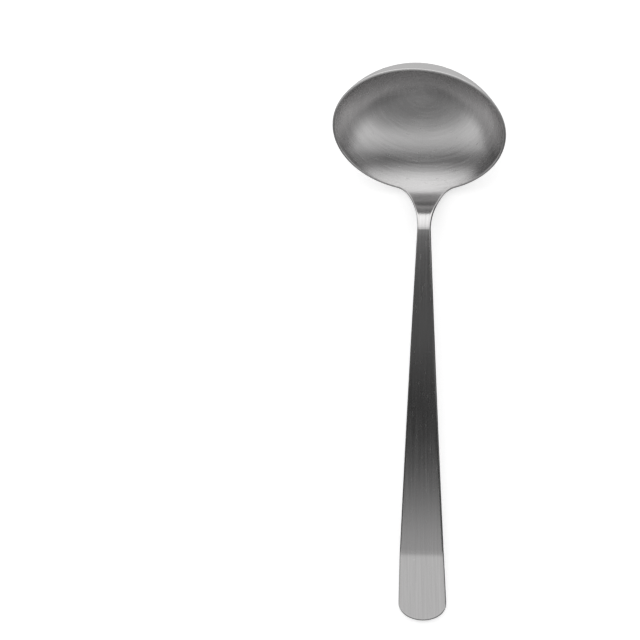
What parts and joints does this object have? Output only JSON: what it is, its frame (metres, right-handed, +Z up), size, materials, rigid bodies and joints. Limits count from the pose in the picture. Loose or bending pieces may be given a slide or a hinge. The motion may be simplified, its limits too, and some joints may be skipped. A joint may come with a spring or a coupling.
{
  "type": "soup ladle",
  "caption": "Stainless steel soup ladle with a round tilted bowl, a narrow neck and a long tapered handle that ends in a bent flat tip, for serving liquids",
  "frame": {"origin": "on the table, under the middle of the ladle as it lies on its bowl and its handle's tip", "axes": "+Y from the handle's tip toward the bowl, +Z up and out of the bowl's mouth, +X to the right; left and right are mirror images"},
  "size_m": [0.0886, 0.2854, 0.069],
  "materials": {
    "bowl_steel": "turned satin",
    "weld_steel": "ground",
    "handle_steel": "brushed lengthwise"
  },
  "bodies": {
    "root": {"bowl": "bowl_steel", "weld": "weld_steel", "handle": "handle_steel"}
  },
  "joints": []
}
